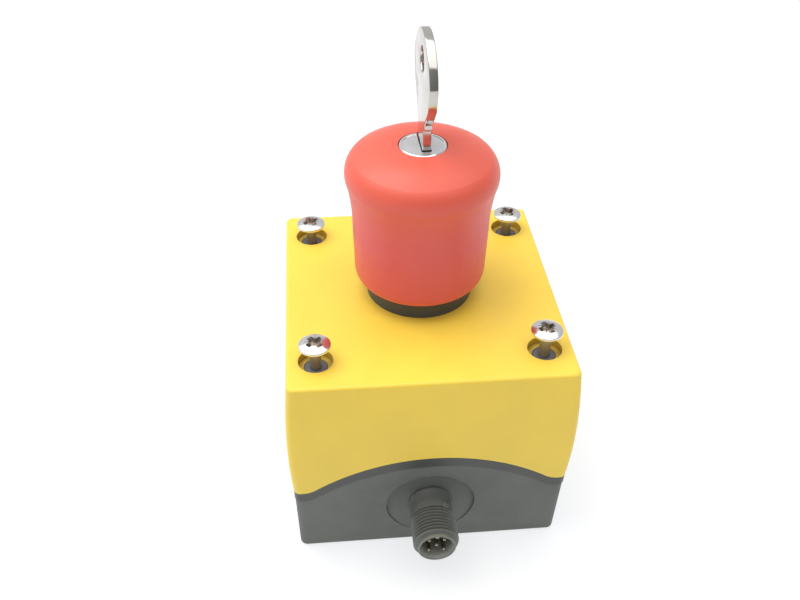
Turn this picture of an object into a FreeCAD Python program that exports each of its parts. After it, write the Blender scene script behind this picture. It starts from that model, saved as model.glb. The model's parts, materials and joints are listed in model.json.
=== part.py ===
import FreeCAD, Part
import math
import os
from types import SimpleNamespace

import Sketcher

# Emergency stop button in a surface-mounting enclosure, with a key-released mushroom head and
# a round plug connector in its front wall. Millimetres, +Z up along the push axis.
# The origin is the centre of the enclosure's flat mounting face; the connector points to -Y.

# ---------------------------------------------------------------- driving dimensions

SIZES = {
    # enclosure
    "case_width": 72.0,
    "case_depth": 75.0,
    "case_height": 61.0,
    "belly": 0.95,
    "belly_height": 46.0,
    "parting_width": 72.6,
    "parting_depth": 75.5,
    "foot_width": 71.7,
    "foot_depth": 71.9,
    "arch_foot": 24.0,
    "arch_half": 32.0,
    "arch_rise": 11.4,
    "arch_round": 6.0,
    "rim_height": 3.0,
    "rim_step": 0.12,
    "wall": 2.5,
    "cover_corner": 1.8,
    "base_corner": 2.0,
    "top_edge": 0.9,
    "foot_edge": 0.8,
    "inside_half_width": 32.8,
    "inside_half_depth": 33.2,
    "seal_width": 1.2,
    "seal_depth": 1.2,
    # cover screws in their wells
    "screw_x": 28.7,
    "screw_y": 27.1,
    "well_radius": 4.4,
    "well_wall": 1.6,
    "well_floor": 59.0,
    "well_floor_thickness": 1.5,
    "well_hole_radius": 3.0,
    "pillar_radius": 4.2,
    "pillar_top": 57.3,
    "spigot_radius": 2.85,
    "pillar_hole_radius": 1.5,
    "pillar_hole_floor": 20.0,
    "screw_head_radius": 4.0,
    "screw_head_height": 2.5,
    "screw_head_rim": 0.8,
    "screw_radius": 1.4,
    "screw_length": 30.0,
    "recess_width": 0.9,
    "recess_span": 4.4,
    "recess_depth": 1.4,
    # wall fixing and the spot faces for the cable side
    "fixing_x": 18.0,
    "fixing_y": 27.0,
    "fixing_radius": 2.25,
    "entry_height": 16.0,
    "entry_radius": 12.0,
    "entry_face": 36.2,
    "knockout_radius": 10.2,
    "knockout_score": 0.5,
    "knockout_depth": 1.4,
    # actuator: its axis, the collar, the bushing and the nut
    "axis_y": 1.4,
    "stem_radius": 11.0,
    "stem_hole_radius": 11.15,
    "stem_bottom": 47.0,
    "guide_radius": 7.3,
    "guide_top": 56.0,
    "spring_bore_radius": 9.3,
    "flange_radius": 12.8,
    "flange_thickness": 2.8,
    "collar_seal_thickness": 0.6,
    "collar_radius": 14.15,
    "collar_height": 5.6,
    "collar_mouth_radius": 10.6,
    "nut_radius": 14.6,
    "nut_height": 4.0,
    "nut_notch": 3.0,
    # mushroom head, heights above the cover
    "lip_height": 4.8,
    "lip_radius": 14.95,
    "skirt_radius": 17.3,
    "waist_radius": 17.7,
    "waist_height": 22.5,
    "flare_radius": 19.05,
    "flare_height": 33.4,
    "head_radius": 19.4,
    "head_height": 43.2,
    "cavity_radius": 14.55,
    "hub_radius": 10.8,
    "hub_bottom": 76.0,
    "hollow_top": 97.0,
    "seat_radius": 6.15,
    # lock in the head
    "stator_radius": 8.4,
    "stator_bottom": 72.0,
    "stator_web": 80.0,
    "stator_top": 102.8,
    "plug_radius": 5.5,
    "plug_journal": 4.4,
    "plug_shoulder": 82.0,
    "plug_top": 103.4,
    "plate_radius": 6.0,
    "plate_top": 104.3,
    "keyway_centre": 0.45,
    "keyway_width": 2.5,
    "blade_thickness": 2.15,
    "blade_front": -1.9,
    "blade_back": 6.6,
    "blade_tip": 83.6,
    "blade_shoulder": 1.4,
    "bow_bottom": 110.0,
    "bow_neck": 1.6,
    "bow_radius": 12.3,
    "knee_reach": 10.75,
    "knee_height": 117.5,
    "bow_hole_radius": 3.1,
    "key_top": 132.8,
    "lock_rest": 2.0,
    "wafer_thickness": 1.0,
    "wafer_pitch": 3.0,
    "first_wafer": 86.0,
    # sleeve, latch and pusher under the lock
    "sleeve_radius": 7.0,
    "sleeve_bore": 5.9,
    "sleeve_top": 79.4,
    "latch_bottom": 48.9,
    "latch_height": 2.4,
    "latch_reach": 8.7,
    "latch_half": 3.9,
    "pusher_top": 46.9,
    "pusher_thickness": 2.5,
    # contact blocks on their carrier
    "block_spacing": 9.0,
    "block_width": 16.0,
    "block_half_depth": 17.0,
    "block_bottom": 8.5,
    "block_top": 38.5,
    "plunger_top": 44.3,
    "strip_height": 25.6,
    "terminal_reach": 14.0,
    # plug connector in the front wall
    "thread_radius": 6.0,
    "thread_start": 36.5,
    "thread_end": 49.2,
    "mouth_radius": 5.0,
    "mouth_bore": 4.2,
    "mouth_front": 51.8,
    "tail_radius": 5.0,
    "tail_end": 27.0,
    "insert_radius": 3.6,
    "pin_radius": 0.5,
    "pin_circle": 2.8,
    "lead_radius": 0.9,
}


class Size:
    """A length from the sheet: its value now, and the expression that keeps a feature bound."""

    def __init__(self, value, rule):
        self.value = float(value)
        self.rule = rule

    def __add__(self, other):
        other = size(other)
        return Size(self.value + other.value, f"({self.rule} + {other.rule})")

    def __sub__(self, other):
        other = size(other)
        return Size(self.value - other.value, f"({self.rule} - {other.rule})")

    def __mul__(self, other):
        other = size(other)
        return Size(self.value * other.value, f"({self.rule} * {other.rule})")

    def __truediv__(self, other):
        other = size(other)
        return Size(self.value / other.value, f"({self.rule} / {other.rule})")

    def root(self):
        return Size(math.sqrt(self.value), f"sqrt({self.rule})")

    def __radd__(self, other):
        return size(other) + self

    def __rsub__(self, other):
        return size(other) - self

    def __rmul__(self, factor):
        return self * factor

    def __neg__(self):
        return Size(-self.value, f"(0 - {self.rule})")


def size(value):
    """Turns a plain number into a Size and leaves a Size as it is."""
    return value if isinstance(value, Size) else Size(value, f"({value})")


def fill_sheet(sheet, numbers):
    """Writes each driving dimension into the sheet and returns them as Sizes by name."""
    names = SimpleNamespace()
    for row, (alias, number) in enumerate(numbers.items(), start=1):
        sheet.set(f"A{row}", alias)
        sheet.set(f"B{row}", str(number))
        sheet.setAlias(f"B{row}", alias)
        setattr(names, alias, Size(number, f"Dims.{alias}"))
    return names


doc = FreeCAD.newDocument("EmergencyStop")
dims_sheet = doc.addObject("Spreadsheet::Sheet", "Dims")
D = fill_sheet(dims_sheet, SIZES)
doc.recompute()

NODES = []
AXIS = (0.0, D.axis_y)
OUTSIDE = 60.0
EPS = 1.0
DIAGONAL = math.sqrt(0.5)


# ---------------------------------------------------------------- modelling helpers

def node(label, item):
    """Names one finished sub-part; the label is also its file's name."""
    item.Label = label
    NODES.append(item)
    return item


def bind(item, path, value):
    """Sets one property through an expression on the sheet."""
    item.setExpression(path, size(value).rule)


def origin_plane(body, role):
    return next(plane for plane in body.Origin.OriginFeatures if plane.Role == role)


def pin_point(sketch, geometry, position, point):
    """Holds one sketch vertex at its two coordinates, measured from the origin."""
    for kind, axis, value in (("DistanceX", -2, point[0]), ("DistanceY", -1, point[1])):
        value = size(value)
        if abs(value.value) < 1e-9:
            sketch.addConstraint(Sketcher.Constraint("PointOnObject", geometry, position, axis))
            continue
        rule = Sketcher.Constraint(kind, -1, 1, geometry, position, value.value)
        index = sketch.addConstraint(rule)
        if "Dims." in value.rule:
            sketch.setExpression(f"Constraints[{index}]", value.rule)


def vector(point):
    return FreeCAD.Vector(size(point[0]).value, size(point[1]).value, 0)


def draw_outline(sketch, start, *steps):
    """Draws a closed outline. A step is a point, or (point on an arc, end point of the arc)."""
    ends = []
    here = start
    for step in steps + (start,):
        curved = isinstance(step[0], tuple)
        there = step[1] if curved else step
        if curved:
            curve = Part.Arc(vector(here), vector(step[0]), vector(there))
        else:
            curve = Part.LineSegment(vector(here), vector(there))
        index = sketch.addGeometry(curve)
        forward = sketch.getPoint(index, 1).distanceToPoint(vector(here)) < 1e-6
        ends.append((index, (1, 2) if forward else (2, 1), here))
        if curved:
            middle = sketch.addGeometry(Part.Point(vector(step[0])), True)
            sketch.addConstraint(Sketcher.Constraint("PointOnObject", middle, 1, index))
            pin_point(sketch, middle, 1, step[0])
        here = there
    for number, (index, order, point) in enumerate(ends):
        last_index, last_order, _ = ends[number - 1]
        join = Sketcher.Constraint("Coincident", last_index, last_order[1], index, order[0])
        sketch.addConstraint(join)
        pin_point(sketch, index, order[0], point)


def draw_circle(sketch, x, y, radius):
    centre = vector((x, y))
    index = sketch.addGeometry(Part.Circle(centre, FreeCAD.Vector(0, 0, 1), size(radius).value))
    pin_point(sketch, index, 3, (x, y))
    constraint = sketch.addConstraint(Sketcher.Constraint("Radius", index, size(radius).value))
    if "Dims." in size(radius).rule:
        sketch.setExpression(f"Constraints[{constraint}]", size(radius).rule)


def new_sketch(body, role, offset, outlines=(), circles=()):
    """A sketch on one of the body's own origin planes, moved along its normal."""
    sketch = body.newObject("Sketcher::SketchObject", "Sketch")
    sketch.AttachmentSupport = [(origin_plane(body, role), "")]
    sketch.MapMode = "FlatFace"
    bind(sketch, "AttachmentOffset.Base.z", offset)
    for outline in outlines:
        draw_outline(sketch, *outline)
    for circle in circles:
        draw_circle(sketch, *circle)
    return sketch


def new_body(x=0.0, y=0.0, z=0.0):
    body = doc.addObject("PartDesign::Body", "Body")
    for letter, value in zip("xyz", (x, y, z)):
        bind(body, f"Placement.Base.{letter}", value)
    return body


def add_pad(body, role, low, high, outlines=(), circles=()):
    """Pads between two heights along the plane's own axis: X for YZ, Y for XZ, Z for XY."""
    start = -size(high) if role == "XZ_Plane" else size(low)
    sketch = new_sketch(body, role, start, outlines, circles)
    pad = body.newObject("PartDesign::Pad", "Pad")
    pad.Profile = sketch
    bind(pad, "Length", size(high) - size(low))
    return pad


def prism(role, low, high, outlines=(), circles=(), at=(0.0, 0.0, 0.0)):
    body = new_body(*at)
    add_pad(body, role, low, high, outlines, circles)
    return body


def turned(outline, at=(0.0, 0.0, 0.0), along="Z"):
    """A turned piece: its half section, as (radius, height), goes once round the axis."""
    body = new_body(*at)
    sketch = new_sketch(body, "XZ_Plane" if along == "Z" else "XY_Plane", 0.0, (outline,))
    feature = body.newObject("PartDesign::Revolution", "Revolution")
    feature.Profile = sketch
    feature.ReferenceAxis = (sketch, ["V_Axis"])
    feature.Angle = 360
    return body


def on_axis(*outline):
    """A turned piece on the push axis."""
    return turned(outline, (0.0, D.axis_y, 0.0))


def ring(inner, outer, low, high):
    """A plain ring on the push axis."""
    return on_axis((inner, low), (outer, low), (outer, high), (inner, high))


def block(low, high):
    """A box between two corners."""
    box = doc.addObject("Part::Box", "Box")
    for name, letter, start, end in zip(("Length", "Width", "Height"), "xyz", low, high):
        bind(box, name, size(end) - size(start))
        bind(box, f"Placement.Base.{letter}", start)
    return box


def rod(radius, start, length, direction="Z"):
    """A round bar from its start point along +X, +Y or +Z."""
    bar = doc.addObject("Part::Cylinder", "Cylinder")
    bind(bar, "Radius", radius)
    bind(bar, "Height", length)
    turn = {"X": (FreeCAD.Vector(0, 1, 0), 90), "Y": (FreeCAD.Vector(1, 0, 0), -90)}
    if direction in turn:
        bar.Placement.Rotation = FreeCAD.Rotation(*turn[direction])
    for letter, value in zip("xyz", start):
        bind(bar, f"Placement.Base.{letter}", value)
    return bar


def cut(base, *tools):
    """Takes the tools away from the base one after another."""
    for tool in tools:
        result = doc.addObject("Part::Cut", "Cut")
        result.Base = base
        result.Tool = tool
        base = result
    return base


def join(*pieces):
    result = doc.addObject("Part::MultiFuse", "Fusion")
    result.Shapes = list(pieces)
    return result


def overlap(*pieces):
    result = doc.addObject("Part::MultiCommon", "Common")
    result.Shapes = list(pieces)
    return result


def group(*pieces):
    """Separate solids of one kind that share a node."""
    result = doc.addObject("Part::Compound", "Group")
    result.Links = list(pieces)
    return result


def round_edges(body, radius, wanted):
    """Fillets the edges of the body's tip that the test picks out."""
    doc.recompute()
    tip = body.Tip
    names = [f"Edge{i}" for i, edge in enumerate(tip.Shape.Edges, start=1) if wanted(edge)]
    fillet = body.newObject("PartDesign::Fillet", "Fillet")
    fillet.Base = (tip, names)
    bind(fillet, "Radius", radius)
    return fillet


def coil(mean_radius, wire_radius, low, high, turns, at):
    """A coil spring standing on its own axis, between two heights."""
    body = new_body(at[0], at[1], size(low) + wire_radius)
    sketch = new_sketch(body, "XZ_Plane", 0.0, (), ((mean_radius, 0.0, wire_radius),))
    helix = body.newObject("PartDesign::AdditiveHelix", "Helix")
    helix.Profile = sketch
    helix.ReferenceAxis = (sketch, ["V_Axis"])
    helix.Mode = "height-turns-angle"
    helix.Turns = turns
    bind(helix, "Height", size(high) - size(low) - 2 * size(wire_radius))
    return body


def inner_box(half_x, half_y, low, high):
    return block((-size(half_x), -size(half_y), low), (half_x, half_y, high))


# ---------------------------------------------------------------- enclosure

def side_outline(foot, parting, top, height):
    """The enclosure seen along one axis: drafted foot, then a slightly bellied upper part."""
    foot, parting, top = foot / 2, parting / 2, top / 2
    belly = top + D.belly
    return ((-foot, 0.0), (foot, 0.0), (parting, D.arch_foot),
            ((belly, D.belly_height), (top, height)), (-top, height),
            ((-belly, D.belly_height), (-parting, D.arch_foot)))


def case_solid(inset, corner, top_edge=None):
    """The enclosure's outer form as one solid, drawn in by the inset on every side."""
    body = new_body()
    widths = [value - 2 * size(inset) for value in (D.foot_width, D.parting_width, D.case_width)]
    depths = [value - 2 * size(inset) for value in (D.foot_depth, D.parting_depth, D.case_depth)]
    front = side_outline(*widths, D.case_height)
    add_pad(body, "XZ_Plane", -OUTSIDE, OUTSIDE, (front,))
    _, right_foot, right_parting, right_arc, _, left_arc = side_outline(*depths, D.case_height)
    beyond = size(OUTSIDE + EPS)
    right = (right_foot, right_parting, right_arc, (right_arc[1][0], D.case_height + EPS),
             (beyond, D.case_height + EPS), (beyond, -EPS), (right_foot[0], -EPS))
    left = tuple(mirror_step(step) for step in right)
    pocket = body.newObject("PartDesign::Pocket", "Sides")
    pocket.Profile = new_sketch(body, "YZ_Plane", 0.0, (right, left))
    pocket.SideType = "Symmetric"
    pocket.Length = 4 * OUTSIDE
    round_edges(body, corner, lambda edge: edge.BoundBox.ZLength > 10)
    if top_edge:
        roof = D.case_height.value - 0.01
        round_edges(body, top_edge, lambda edge: edge.BoundBox.ZMin > roof)
    else:
        round_edges(body, D.foot_edge, lambda edge: edge.BoundBox.ZMax < 0.01)
    return body


def mirror_step(step):
    if isinstance(step[0], tuple):
        return tuple(mirror_step(point) for point in step)
    return (-size(step[0]), step[1])


def arch_line(offset, sign=1):
    """The parting line from left to right (sign 1) or back (sign -1): one arch, rounded feet."""
    foot = D.arch_foot + offset
    rise, rounding = D.arch_rise, D.arch_round
    arch_radius = (D.arch_half * D.arch_half + rise * rise) / (rise * 2)
    both = arch_radius + rounding
    flat = (both * both - (both - rise) * (both - rise)).root()
    share = rise / (both * 2)
    bend = (flat - rounding * share.root(), foot + rounding - rounding * (1 - share).root())
    joint = (flat * arch_radius / both, foot + rise * rounding / both)
    return ((-OUTSIDE * sign, foot), (-flat * sign, foot),
            ((-bend[0] * sign, bend[1]), (-joint[0] * sign, joint[1])),
            ((0.0, foot + rise), (joint[0] * sign, joint[1])),
            ((bend[0] * sign, bend[1]), (flat * sign, foot)),
            (OUTSIDE * sign, foot))


def arch_slab(low, high):
    """Everything between two parting lines, or beyond one of them where the other is None."""
    if low is None:
        under = ((OUTSIDE, -EPS), (-OUTSIDE, -EPS))
        return prism("XZ_Plane", -OUTSIDE, OUTSIDE, (arch_line(high) + under,))
    return prism("XZ_Plane", -OUTSIDE, OUTSIDE, (arch_line(low) + arch_line(high, -1),))


# The carrier's two screws, in front of and behind the push axis.
CARRIER_SCREWS = (-20.8, 20.8)
CORNERS = [("front_left", -1, -1), ("front_right", 1, -1), ("back_left", -1, 1), ("back_right", 1, 1)]


def at_corners(x, y, make):
    return [make(x * right, y * back) for _, right, back in CORNERS]


def build_cover():
    shell = cut(case_solid(0.0, D.cover_corner, D.top_edge), arch_slab(None, 0.0),
                inner_box(D.case_width / 2 - D.wall, D.case_depth / 2 - D.wall,
                          0.0, D.case_height - D.wall))
    tube_bottom = D.well_floor - D.well_floor_thickness
    tubes = at_corners(D.screw_x, D.screw_y, lambda x, y: rod(
        D.well_radius + D.well_wall, (x, y, tube_bottom), D.case_height - tube_bottom - 1.0))
    tubes = overlap(join(*tubes), case_solid(0.5, D.cover_corner))
    bores = at_corners(D.screw_x, D.screw_y,
                       lambda x, y: rod(D.well_radius, (x, y, D.well_floor), 10.0))
    holes = at_corners(D.screw_x, D.screw_y,
                       lambda x, y: rod(D.well_hole_radius, (x, y, tube_bottom - EPS), 5.0))
    stem_hole = rod(D.stem_hole_radius, (0.0, D.axis_y, D.case_height - 5.0), 10.0)
    node("enclosure_cover", cut(join(shell, tubes), stem_hole, *bores, *holes))


def build_base():
    body = overlap(case_solid(D.rim_step, D.base_corner), arch_slab(None, -D.rim_height))
    rim = overlap(case_solid(0.0, D.cover_corner), arch_slab(-D.rim_height, 0.0))
    hollow = inner_box(D.inside_half_width, D.inside_half_depth, D.wall, D.case_height)
    seal_half_x = D.inside_half_width + 0.9 + D.seal_width
    seal_half_y = D.inside_half_depth + 1.9 + D.seal_width
    rebate = overlap(arch_slab(-D.seal_depth, 20.0),
                     inner_box(seal_half_x, seal_half_y, 0.0, D.case_height))
    shell = cut(join(body, rim), hollow, rebate)
    pillars = at_corners(D.screw_x, D.screw_y, lambda x, y: rod(
        D.pillar_radius, (x, y, D.wall - 0.5), D.pillar_top - D.wall + 0.5))
    # Each pillar ends in a spigot that fills the hole in its well's floor and places the cover.
    spigots = at_corners(D.screw_x, D.screw_y, lambda x, y: rod(
        D.spigot_radius, (x, y, D.pillar_top - 1.0), D.well_floor - D.pillar_top + 1.0))
    bosses = [rod(3.5, (0.0, D.axis_y + offset, D.wall - 0.5), 4.0) for offset in CARRIER_SCREWS]
    screw_holes = at_corners(D.screw_x, D.screw_y, lambda x, y: rod(
        D.pillar_hole_radius, (x, y, D.pillar_hole_floor), OUTSIDE))
    boss_holes = [rod(1.25, (0.0, D.axis_y + offset, 3.0), 4.0) for offset in CARRIER_SCREWS]
    fixing_holes = at_corners(D.fixing_x, D.fixing_y,
                              lambda x, y: rod(D.fixing_radius, (x, y, -EPS), D.wall + 2 * EPS))
    front_face = rod(D.entry_radius, (0.0, -D.entry_face - 5.0, D.entry_height), 5.0, "Y")
    back_face = rod(D.entry_radius, (0.0, D.entry_face, D.entry_height), 5.0, "Y")
    entry_hole = rod(D.tail_radius + 0.1, (0.0, -D.entry_face - EPS, D.entry_height), 6.0, "Y")
    score_start = D.entry_face - D.knockout_depth
    score = cut(rod(D.knockout_radius, (0.0, score_start, D.entry_height), 3.0, "Y"),
                rod(D.knockout_radius - D.knockout_score, (0.0, score_start, D.entry_height), 3.0, "Y"))
    node("enclosure_base", cut(join(shell, *pillars, *spigots, *bosses), *screw_holes, *boss_holes,
                               *fixing_holes, front_face, back_face, entry_hole, score))


def build_cover_seal():
    half_x = D.inside_half_width + 0.9
    half_y = D.inside_half_depth + 1.9
    outer = inner_box(half_x + D.seal_width, half_y + D.seal_width, 0.0, D.case_height)
    inner = inner_box(half_x, half_y, 0.0, D.case_height)
    node("cover_seal", overlap(cut(outer, inner), arch_slab(-D.seal_depth, 0.0)))


def screw(head_radius, head_height, rim, radius, length, head_base, x, y):
    """A domed screw with a crossed recess, its head standing on head_base."""
    base, top = size(head_base), size(head_base) + head_height
    form = turned(((0.0, base - length), (radius, base - length), (radius, base),
                   (head_radius, base), (head_radius, base + rim),
                   ((size(head_radius) * DIAGONAL, top - (size(head_height) - rim) * 0.32),
                    (0.0, top))), (x, y, 0.0))
    half, reach = D.recess_width / 2, D.recess_span / 2
    floor = top - D.recess_depth
    return cut(form,
               block((x - reach, y - half, floor), (x + reach, y + half, top + EPS)),
               block((x - half, y - reach, floor), (x + half, y + reach, top + EPS)))


# Height of each cover screw's head above its well floor as the cover is left loosened.
LOOSENED = {"front_left": 6.6, "front_right": 7.4, "back_left": 5.7, "back_right": 6.2}


def build_cover_screws():
    for name, right, back in CORNERS:
        node(f"cover_screw_{name}", screw(
            D.screw_head_radius, D.screw_head_height, D.screw_head_rim, D.screw_radius,
            D.screw_length, D.well_floor + LOOSENED[name], D.screw_x * right, D.screw_y * back))


# ---------------------------------------------------------------- actuator on the cover

def build_collar():
    roof = D.case_height
    seal_top = roof + D.collar_seal_thickness
    flange_top = seal_top + D.flange_thickness
    node("collar_seal", ring(D.stem_hole_radius, D.flange_radius, roof, seal_top))
    inner = D.flange_radius + 0.05
    top = roof + D.collar_height
    node("collar_ring", on_axis(
        (inner, roof), (D.collar_radius, roof), (D.collar_radius, top - 0.6),
        ((D.collar_radius - 0.18, top - 0.18), (D.collar_radius - 0.6, top)),
        (D.collar_mouth_radius, top), (D.collar_mouth_radius, flange_top), (inner, flange_top)))
    bushing = on_axis(
        (D.guide_radius, D.stem_bottom), (D.stem_radius, D.stem_bottom),
        (D.stem_radius, seal_top), (D.flange_radius, seal_top), (D.flange_radius, flange_top),
        (D.spring_bore_radius, flange_top), (D.spring_bore_radius, D.guide_top),
        (D.guide_radius, D.guide_top))
    latch_slot = block((0.0, D.axis_y - D.latch_half - 0.3, D.stem_bottom - EPS),
                       (D.latch_reach + 0.4, D.axis_y + D.latch_half + 0.3,
                        D.latch_bottom + D.latch_height + 0.4))
    node("threaded_bushing", cut(bushing, latch_slot))


def build_ring_nut():
    """The fixing nut under the cover: a ring with six notches for a socket key."""
    body = new_body(0.0, D.axis_y, 0.0)
    top = D.case_height - D.wall
    add_pad(body, "XY_Plane", top - D.nut_height, top,
            circles=((0.0, 0.0, D.nut_radius), (0.0, 0.0, D.stem_radius + 0.05)))
    half = D.nut_notch / 2
    notch = body.newObject("PartDesign::Pocket", "Notch")
    notch.Profile = new_sketch(body, "XY_Plane", top - D.nut_height, (
        ((D.nut_radius - 1.5, -half), (D.nut_radius + 1.0, -half),
         (D.nut_radius + 1.0, half), (D.nut_radius - 1.5, half)),))
    notch.Reversed = True
    notch.Length = 2.0
    pattern = body.newObject("PartDesign::PolarPattern", "Notches")
    pattern.Originals = [notch]
    pattern.Axis = (notch.Profile[0], ["N_Axis"])
    pattern.Angle = 360
    pattern.Occurrences = 6
    body.Tip = pattern
    node("ring_nut", body)


def build_head():
    roof = D.case_height
    lip = roof + D.lip_height
    top = roof + D.head_height
    head_wall = 2.5
    node("mushroom_head", on_axis(
        (D.cavity_radius, lip),
        (D.lip_radius, lip),
        ((D.lip_radius + 1.45, lip + 0.95), (D.skirt_radius, lip + 3.4)),
        (D.waist_radius, roof + D.waist_height),
        ((D.waist_radius + 0.42, roof + 28.2), (D.flare_radius, roof + D.flare_height)),
        ((D.head_radius, roof + 36.6), (D.head_radius - 2.0, roof + 40.2)),
        ((13.0, top - 0.85), (D.seat_radius, top)),
        (D.seat_radius, top - 1.3),
        (D.stator_radius + 0.05, top - 1.3),
        (D.stator_radius + 0.05, D.hub_bottom),
        (D.hub_radius, D.hub_bottom),
        (D.hub_radius, D.hollow_top),
        (D.waist_radius - head_wall, D.hollow_top),
        (D.waist_radius - head_wall, D.hub_bottom + 4.0),
        (D.cavity_radius, D.hub_bottom)))


def build_bellows():
    """The folded rubber sleeve between the collar and the head."""
    low = D.case_height + D.collar_height
    high = D.hub_bottom - 3.0
    fold = (high - low) / 6
    inner, outer, thin = 9.7, 11.3, 0.5
    inside = [(inner if i % 2 else outer - thin, low + fold * i) for i in range(7)]
    outside = [(inner + thin if i % 2 else outer, low + fold * i) for i in range(6, -1, -1)]
    node("bellows_seal", on_axis(*inside, *outside))


# ---------------------------------------------------------------- lock and its drive

def lock_node(label, item):
    """Names a piece that turns with the lock, which rests at a small angle about the push axis."""
    turn = FreeCAD.Rotation(FreeCAD.Vector(0, 0, 1), D.lock_rest.value)
    axis = FreeCAD.Vector(0, D.axis_y.value, 0)
    item.Placement = FreeCAD.Placement(FreeCAD.Vector(0, 0, 0), turn, axis)
    return node(label, item)


def keyway(low, high, clearance=0.0):
    half = D.keyway_width / 2 + clearance
    return block((D.keyway_centre - half, D.blade_front - 0.4 - clearance, low),
                 (D.keyway_centre + half, D.axis_y + D.plate_radius + 0.5, high))


def build_lock():
    node("lock_stator", on_axis(
        (D.sleeve_radius + 0.02, D.stator_bottom), (D.stator_radius, D.stator_bottom),
        (D.stator_radius, D.stator_top), (D.plug_radius + 0.05, D.stator_top),
        (D.plug_radius + 0.05, D.plug_shoulder), (D.plug_journal + 0.1, D.plug_shoulder - 0.1),
        (D.plug_journal + 0.1, D.stator_web), (D.sleeve_radius + 0.02, D.stator_web)))
    nut = prism("XY_Plane", D.hub_bottom - 3.0, D.hub_bottom,
                (hexagon(10.0),), ((0.0, 0.0, D.stator_radius + 0.02),), (0.0, D.axis_y, 0.0))
    node("lock_nut", nut)
    groove_low, groove_high = 78.9, 79.7
    plug = on_axis(
        (0.0, 78.4), (D.plug_journal, 78.4), (D.plug_journal, groove_low), (3.6, groove_low),
        (3.6, groove_high), (D.plug_journal, groove_high), (D.plug_journal, D.plug_shoulder),
        (D.plug_radius, D.plug_shoulder), (D.plug_radius, D.plug_top), (0.0, D.plug_top))
    slots = [block((-3.5, D.axis_y - 4.3, D.first_wafer + D.wafer_pitch * i - 0.05),
                   (3.5, D.axis_y + 4.1, D.first_wafer + D.wafer_pitch * i + D.wafer_thickness + 0.05))
             for i in range(5)]
    lock_node("lock_plug", cut(plug, keyway(D.plug_shoulder + 0.8, D.plug_top + EPS), *slots))
    wafers = [block((-3.4, D.axis_y - 4.2, D.first_wafer + D.wafer_pitch * i),
                    (3.4, D.axis_y + 4.0, D.first_wafer + D.wafer_pitch * i + D.wafer_thickness))
              for i in range(5)]
    lock_node("wafer_tumblers", cut(group(*wafers), keyway(D.plug_shoulder, D.plug_top, 0.05)))
    node("plug_clip", ring(3.65, 5.6, groove_low + 0.1, groove_high - 0.1))
    plate = on_axis((0.0, D.plug_top), (D.plate_radius, D.plug_top),
                    (D.plate_radius, D.plate_top - 0.25), (D.plate_radius - 0.25, D.plate_top),
                    (D.plate_radius - 0.7, D.plate_top), (D.plate_radius - 0.85, D.plate_top - 0.15),
                    (0.0, D.plate_top - 0.15))
    lock_node("lock_face_plate", cut(plate, keyway(D.plug_top - EPS, D.plate_top + EPS)))


def hexagon(half_flats):
    """A hexagon's corners, with flats facing +X and -X."""
    corner = half_flats / math.cos(math.pi / 6)
    return tuple((corner * math.cos(math.radians(30 + 60 * i)),
                  corner * math.sin(math.radians(30 + 60 * i))) for i in range(6))


def build_key():
    """A flat key: a round bow on kneed cheeks, a stepped neck and a bevelled blade."""
    low, high = D.keyway_centre - D.blade_thickness / 2, D.keyway_centre + D.blade_thickness / 2
    front, back = D.blade_front, D.blade_back
    neck_front, neck_back = front - D.blade_shoulder, back + D.blade_shoulder
    bevel = 2.0
    radius = D.bow_radius
    centre, middle = (front + back) / 2, D.key_top - radius
    neck_top = D.bow_bottom + D.bow_neck
    cheek_angle = math.radians(12.0)
    across, up = radius * math.cos(cheek_angle), radius * math.sin(cheek_angle)
    hole_rise = 5.4
    body = new_body()
    add_pad(body, "YZ_Plane", low, high, (
        ((front, D.blade_tip + bevel), (front + bevel, D.blade_tip),
         (back - bevel, D.blade_tip), (back, D.blade_tip + bevel),
         (back, D.bow_bottom), (neck_back, D.bow_bottom), (neck_back, neck_top),
         (centre + D.knee_reach, D.knee_height), (centre + across, middle + up),
         ((centre, D.key_top), (centre - across, middle + up)),
         (centre - D.knee_reach, D.knee_height),
         (neck_front, neck_top), (neck_front, D.bow_bottom), (front, D.bow_bottom)),),
        ((centre, middle + hole_rise, D.bow_hole_radius),))
    above_cheeks = (D.knee_height + 1.0).value
    round_edges(body, 0.35, lambda edge: edge.BoundBox.XLength < 0.01
                and edge.BoundBox.ZMin > above_cheeks)
    groove = block((low - EPS, D.axis_y + 1.2, D.blade_tip - EPS), (low + 0.6, D.axis_y + 2.6, 104.0))
    lock_node("key", cut(body, groove))


def build_sleeve():
    tube = ring(D.sleeve_bore, D.sleeve_radius, D.pusher_top, D.sleeve_top)
    window = block((0.0, D.axis_y - D.latch_half - 0.15, D.latch_bottom - 0.15),
                   (10.0, D.axis_y + D.latch_half + 0.15, D.latch_bottom + D.latch_height + 0.15))
    node("plunger_sleeve", cut(tube, window))
    node("release_spindle", join(
        rod(1.6, (0.0, D.axis_y, 51.6), 78.4 - 51.6),
        block((-0.8, D.axis_y - 2.2, 48.7), (0.8, D.axis_y + 2.2, 51.7))))
    top = D.latch_bottom + D.latch_height
    frame = block((-2.2, D.axis_y - D.latch_half, D.latch_bottom),
                  (D.latch_reach, D.axis_y + D.latch_half, top))
    window = block((-0.95, D.axis_y - 2.7, D.latch_bottom - EPS), (4.6, D.axis_y + 2.7, top + EPS))
    node("locking_latch", cut(frame, window))
    plate = block((-14.0, D.axis_y - 5.5, D.pusher_top - D.pusher_thickness),
                  (14.0, D.axis_y + 5.5, D.pusher_top))
    node("pusher_plate", join(plate, rod(D.sleeve_bore - 0.05, (0.0, D.axis_y, D.pusher_top), 1.4)))


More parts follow.
